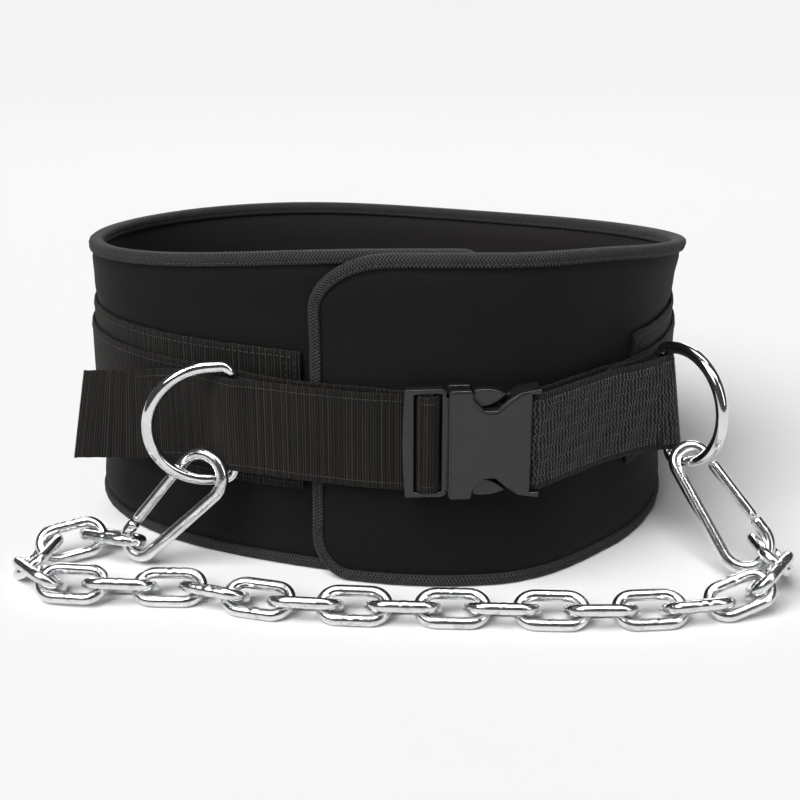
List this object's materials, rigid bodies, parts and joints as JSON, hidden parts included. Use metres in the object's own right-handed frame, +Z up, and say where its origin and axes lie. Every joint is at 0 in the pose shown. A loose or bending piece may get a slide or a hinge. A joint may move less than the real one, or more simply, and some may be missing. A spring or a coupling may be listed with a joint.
{
  "type": "dip belt",
  "caption": "Padded dip belt for weighted exercise: closed waist band, webbing strap with side-release buckle, two D-rings, spring carabiners and a chain to hold a weight.",
  "frame": {"origin": "on the floor, under the middle of the whole object's bounding box", "axes": "+X to the right as the buckle is looked at, -Y towards the buckle side, +Z up"},
  "size_m": [0.379, 0.3128, 0.1652],
  "materials": {
    "neoprene": "smooth matt face cloth on foam",
    "binding_tape": "ribbed woven tape, stitched",
    "webbing": "heavy woven polypropylene webbing",
    "buckle_plastic": "moulded, satin",
    "ring_chrome": "polished plate",
    "zinc_steel": "bright zinc plate"
  },
  "bodies": {
    "belt": {"buckle_female": "buckle_plastic", "buckle_male": "buckle_plastic", "carabiner_left": "zinc_steel", "carabiner_right": "zinc_steel", "edge_binding": "binding_tape", "link_01": "zinc_steel", "link_02": "zinc_steel", "link_03": "zinc_steel", "link_04": "zinc_steel", "link_05": "zinc_steel", "link_06": "zinc_steel", "link_07": "zinc_steel", "link_08": "zinc_steel", "link_09": "zinc_steel", "link_10": "zinc_steel", "link_11": "zinc_steel", "link_12": "zinc_steel", "link_13": "zinc_steel", "link_14": "zinc_steel", "link_15": "zinc_steel", "link_16": "zinc_steel", "link_17": "zinc_steel", "link_18": "zinc_steel", "link_19": "zinc_steel", "link_20": "zinc_steel", "link_21": "zinc_steel", "padded_band": "neoprene", "ring_left": "ring_chrome", "ring_right": "ring_chrome", "strap": "webbing", "wide_webbing": "webbing"},
    "gate_left": {"gate_left": "zinc_steel"},
    "gate_right": {"gate_right": "zinc_steel"}
  },
  "joints": [
    {"name": "left_gate_hinge", "type": "hinge", "parent": "belt", "child": "gate_left", "pos_m": [-0.1314, -0.0799, 0.02268], "axis": [0.3393, 0.9148, -0.219], "range_deg": [0, 22], "stiffness_Nm_per_rad": 0.05, "springref_deg": -20.05},
    {"name": "right_gate_hinge", "type": "hinge", "parent": "belt", "child": "gate_right", "pos_m": [0.15532, -0.07423, 0.05044], "axis": [0.1032, 0.8089, -0.5788], "range_deg": [0, 22], "stiffness_Nm_per_rad": 0.05, "springref_deg": -20.05}
  ]
}
